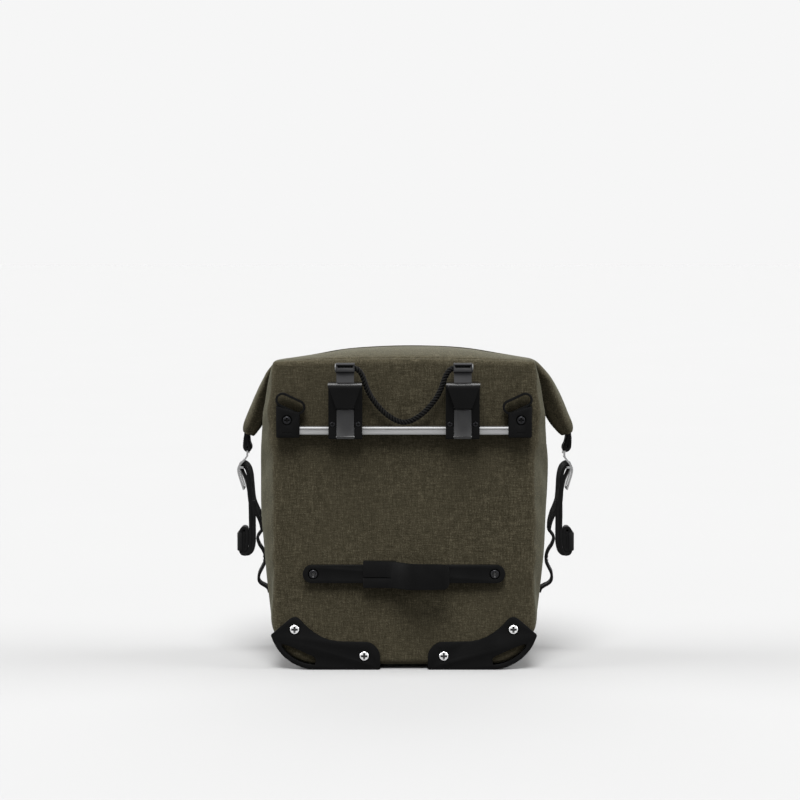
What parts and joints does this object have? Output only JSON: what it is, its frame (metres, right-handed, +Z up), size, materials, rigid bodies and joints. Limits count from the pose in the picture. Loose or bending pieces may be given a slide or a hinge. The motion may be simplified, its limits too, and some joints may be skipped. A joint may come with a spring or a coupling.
{
  "type": "bicycle pannier bag",
  "caption": "Roll-top pannier: soft bag with a stiff back, rack hooks on a rail opened by a rope handle, a lower hook, corner guards and side straps.",
  "frame": {"origin": "On the ground, halfway across the bag and halfway between the front of the hooks and the front of the bag.", "axes": "+Z up; the rack hooks face -Y and the front of the bag +Y; +X runs along the rack, to the right when the hooks are looked at."},
  "size_m": [0.3475, 0.1844, 0.324],
  "materials": {
    "canvas": "coarse crosshatched coated weave, olive brown, matt",
    "board_plastic": "pressed sheet, matt",
    "rail_aluminium": "brushed extrusion",
    "black_plastic": "fine moulded grain",
    "grey_plastic": "fine moulded grain",
    "black_screw": "black oxide",
    "steel": "plain steel",
    "bright_screw": "bright plated",
    "ferrule_metal": "pressed cap",
    "rope": "braided cord",
    "webbing": "ribbed polyester webbing",
    "keeper_rubber": "matt band",
    "liner_rubber": "soft liner"
  },
  "bodies": {
    "bag": {"back_panel": "canvas", "gusset_wrap": "canvas", "front_panel": "canvas", "collar_back": "canvas", "collar_front": "canvas", "roll_top": "canvas", "back_board": "board_plastic", "mounting_rail": "rail_aluminium", "rail_end_left": "black_plastic", "rail_end_right": "black_plastic", "rail_end_screw_left": "black_screw", "rail_end_screw_right": "black_screw", "rail_end_nut_left": "steel", "rail_end_nut_right": "steel", "lower_rail": "black_plastic", "lower_rail_screw_left": "black_screw", "lower_rail_screw_right": "black_screw", "lower_rail_nut_left": "steel", "lower_rail_nut_right": "steel", "corner_guard_left": "black_plastic", "corner_guard_right": "black_plastic", "guard_screw_left_outer": "bright_screw", "guard_screw_left_inner": "bright_screw", "guard_screw_right_outer": "bright_screw", "guard_screw_right_inner": "bright_screw", "top_webbing_left": "webbing", "side_strap_left": "webbing", "daisy_chain_left": "webbing", "g_hook_left": "steel", "top_webbing_right": "webbing", "side_strap_right": "webbing", "daisy_chain_right": "webbing", "g_hook_right": "steel"},
    "hook_left": {"hook_left_body": "black_plastic", "hook_left_lever_pin": "steel", "hook_left_clamp_plate": "black_plastic", "hook_left_tube_insert": "liner_rubber", "hook_left_screw_outer": "black_screw", "hook_left_screw_inner": "black_screw"},
    "release_left": {"hook_left_release_strip": "grey_plastic", "rope_ferrule_left": "ferrule_metal", "rope_handle": "rope"},
    "latch_left": {"hook_left_latch_bolt": "grey_plastic"},
    "clamp_left": {"hook_left_clamp_lever": "grey_plastic"},
    "tail_left": {"strap_tail_left": "webbing", "tail_keeper_left": "keeper_rubber"},
    "hook_right": {"hook_right_body": "black_plastic", "hook_right_lever_pin": "steel", "hook_right_clamp_plate": "black_plastic", "hook_right_tube_insert": "liner_rubber", "hook_right_screw_outer": "black_screw", "hook_right_screw_inner": "black_screw"},
    "release_right": {"hook_right_release_strip": "grey_plastic", "rope_ferrule_right": "ferrule_metal"},
    "latch_right": {"hook_right_latch_bolt": "grey_plastic"},
    "clamp_right": {"hook_right_clamp_lever": "grey_plastic"},
    "tail_right": {"strap_tail_right": "webbing", "tail_keeper_right": "keeper_rubber"},
    "lower_hook": {"lower_hook": "black_plastic"}
  },
  "joints": [
    {"name": "hook_left_slide", "type": "slide", "parent": "bag", "child": "hook_left", "axis": [1, 0, 0], "range_m": [-0.022, 0.022]},
    {"name": "release_left_lift", "type": "slide", "parent": "hook_left", "child": "release_left", "axis": [0, 0, 1], "range_m": [0, 0.0095]},
    {"name": "latch_left_retract", "type": "slide", "parent": "hook_left", "child": "latch_left", "axis": [0, 1, 0], "range_m": [0, 0.0095]},
    {"name": "clamp_left_turn", "type": "hinge", "parent": "hook_left", "child": "clamp_left", "pos_m": [-0.0584, -0.06765, 0.2367], "axis": [1, 0, 0], "range_deg": [0, 85]},
    {"name": "tail_left_swing", "type": "hinge", "parent": "bag", "child": "tail_left", "pos_m": [-0.157, 0.01925, 0.1638], "axis": [0, 1, 0], "range_deg": [0, 45]},
    {"name": "hook_right_slide", "type": "slide", "parent": "bag", "child": "hook_right", "axis": [1, 0, 0], "range_m": [-0.022, 0.022]},
    {"name": "release_right_lift", "type": "slide", "parent": "hook_right", "child": "release_right", "axis": [0, 0, 1], "range_m": [0, 0.0095]},
    {"name": "latch_right_retract", "type": "slide", "parent": "hook_right", "child": "latch_right", "axis": [0, 1, 0], "range_m": [0, 0.0095]},
    {"name": "clamp_right_turn", "type": "hinge", "parent": "hook_right", "child": "clamp_right", "pos_m": [0.0584, -0.06765, 0.2367], "axis": [1, 0, 0], "range_deg": [0, 85]},
    {"name": "tail_right_swing", "type": "hinge", "parent": "bag", "child": "tail_right", "pos_m": [0.157, 0.01925, 0.1638], "axis": [0, -1, 0], "range_deg": [0, 45]},
    {"name": "lower_hook_slide", "type": "slide", "parent": "bag", "child": "lower_hook", "axis": [1, 0, 0], "range_m": [-0.038, 0.06]}
  ],
  "couplings": [
    {"joint": "hook_right_slide", "follows": "hook_left_slide", "ratio": 1},
    {"joint": "release_right_lift", "follows": "release_left_lift", "ratio": 1},
    {"joint": "latch_left_retract", "follows": "release_left_lift", "ratio": 1},
    {"joint": "latch_right_retract", "follows": "release_left_lift", "ratio": 1}
  ]
}
